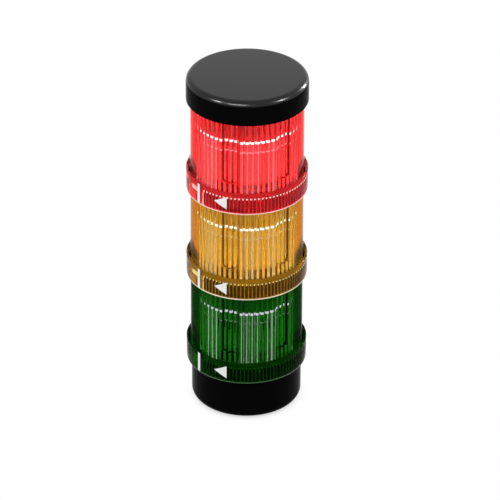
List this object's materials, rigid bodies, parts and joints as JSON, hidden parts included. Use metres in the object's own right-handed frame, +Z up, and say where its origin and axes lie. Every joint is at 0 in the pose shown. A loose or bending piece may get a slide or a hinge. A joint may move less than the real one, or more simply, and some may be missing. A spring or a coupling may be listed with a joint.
{
  "type": "stack light",
  "caption": "Upright signal column: black base, stacked coloured lens modules with ribbed lenses and collars that twist together, and a black cap.",
  "frame": {"origin": "middle of the base's underside", "axes": "+Z up along the column, -Y towards the side with the lock marks"},
  "size_m": [0.07, 0.07, 0.21],
  "materials": {
    "black_plastic": "satin black moulding",
    "red_plastic": "clear red moulding, polished",
    "amber_plastic": "clear amber moulding, polished",
    "green_plastic": "clear green moulding, polished",
    "clear_plastic": "clear moulding, polished",
    "white_plastic": "plain white",
    "grey_plastic": "plain grey",
    "white_board": "white solder mask",
    "red_emitter": "tinted epoxy",
    "amber_emitter": "tinted epoxy",
    "green_emitter": "tinted epoxy",
    "contact_metal": "plated contact brass",
    "steel": "plated steel",
    "rubber": "soft black rubber"
  },
  "bodies": {
    "base": {"base_housing": "black_plastic", "base_gasket": "rubber", "terminal_block": "grey_plastic", "terminal_screws": "steel", "base_contact_plate": "black_plastic", "base_contact_tracks": "contact_metal"},
    "green_module": {"green_collar": "green_plastic", "green_lens": "green_plastic", "green_carrier": "black_plastic", "green_seal": "rubber", "green_contact_springs": "contact_metal", "green_led_board": "white_board", "green_riser_board": "white_board", "green_led_tower": "white_plastic", "green_emitters": "green_emitter", "green_deflector": "clear_plastic", "green_contact_plate": "black_plastic", "green_contact_tracks": "contact_metal"},
    "amber_module": {"amber_collar": "amber_plastic", "amber_lens": "amber_plastic", "amber_carrier": "black_plastic", "amber_seal": "rubber", "amber_contact_springs": "contact_metal", "amber_led_board": "white_board", "amber_riser_board": "white_board", "amber_led_tower": "white_plastic", "amber_emitters": "amber_emitter", "amber_deflector": "clear_plastic", "amber_contact_plate": "black_plastic", "amber_contact_tracks": "contact_metal"},
    "red_module": {"red_collar": "red_plastic", "red_lens": "red_plastic", "red_carrier": "black_plastic", "red_seal": "rubber", "red_contact_springs": "contact_metal", "red_led_board": "white_board", "red_riser_board": "white_board", "red_led_tower": "white_plastic", "red_emitters": "red_emitter", "red_deflector": "clear_plastic", "red_contact_plate": "black_plastic", "red_contact_tracks": "contact_metal"},
    "cap": {"cap": "black_plastic", "cap_seal": "rubber"}
  },
  "joints": [
    {"name": "green_twist", "type": "hinge", "parent": "base", "child": "green_module", "pos_m": [0, 0, 0.026], "axis": [0, 0, 1], "range_deg": [0, 25]},
    {"name": "amber_twist", "type": "hinge", "parent": "green_module", "child": "amber_module", "pos_m": [0, 0, 0.0821], "axis": [0, 0, 1], "range_deg": [0, 25]},
    {"name": "red_twist", "type": "hinge", "parent": "amber_module", "child": "red_module", "pos_m": [0, 0, 0.1382], "axis": [0, 0, 1], "range_deg": [0, 25]},
    {"name": "cap_twist", "type": "hinge", "parent": "red_module", "child": "cap", "pos_m": [0, 0, 0.1943], "axis": [0, 0, 1], "range_deg": [0, 25]}
  ]
}
